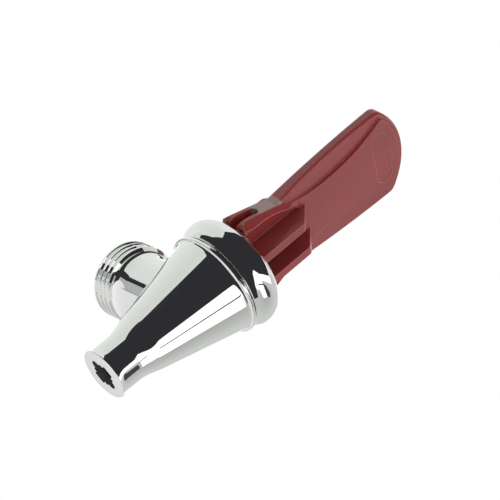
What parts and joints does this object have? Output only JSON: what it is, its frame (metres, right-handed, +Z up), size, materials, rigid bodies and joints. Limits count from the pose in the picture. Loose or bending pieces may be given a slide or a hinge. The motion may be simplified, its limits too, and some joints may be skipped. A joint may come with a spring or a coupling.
{
  "type": "draw-off tap",
  "caption": "Chrome draw-off tap for a water boiler, with a waisted red lever that lifts a rubber seat cup off its seat against a spring.",
  "frame": {"origin": "on the inlet shank's axis where its thread begins, which lies against the boiler's wall", "axes": "+Y along the inlet shank towards the boiler, +Z up along the spout's axis towards the lever, +X to the right of a user who faces the boiler"},
  "size_m": [0.0318, 0.0428, 0.1069],
  "materials": {
    "chrome_plate": "polished chrome plate",
    "red_plastic": "moulded dark red plastic with a satin sheen",
    "clear_nylon": "natural nylon",
    "white_plastic": "moulded white plastic",
    "silicone": "milky silicone rubber",
    "bare_steel": "turned stainless steel"
  },
  "bodies": {
    "tap": {"tap_body": "chrome_plate", "seat_cup": "silicone", "clamp_sleeve": "white_plastic", "guide_bush": "white_plastic", "bonnet": "chrome_plate", "return_spring": "bare_steel"},
    "turning_foot": {"foot_washer": "clear_nylon"},
    "lifting_stem": {"stem": "bare_steel", "retaining_clip": "bare_steel", "spring_washer": "bare_steel", "pivot_pin": "bare_steel"},
    "rocking_lever": {"lever": "red_plastic"}
  },
  "joints": [
    {"name": "lever_swivel", "type": "hinge", "parent": "tap", "child": "turning_foot", "pos_m": [0, -0.0197, 0.0191], "axis": [0, 0, 1], "continuous": true},
    {"name": "stem_lift", "type": "slide", "parent": "turning_foot", "child": "lifting_stem", "axis": [0, 0, 1], "range_m": [0, 0.0023], "deforming": ["return_spring", "seat_cup"]},
    {"name": "lever_rock", "type": "hinge", "parent": "lifting_stem", "child": "rocking_lever", "pos_m": [0, -0.0197, 0.0248], "axis": [0.9781, 0.2079, 0], "range_deg": [0, 20], "stiffness_Nm_per_rad": 0.2, "springref_deg": -22.92}
  ],
  "couplings": [
    {"joint": "stem_lift", "follows": "lever_rock", "m_per_rad": 0.0064}
  ]
}
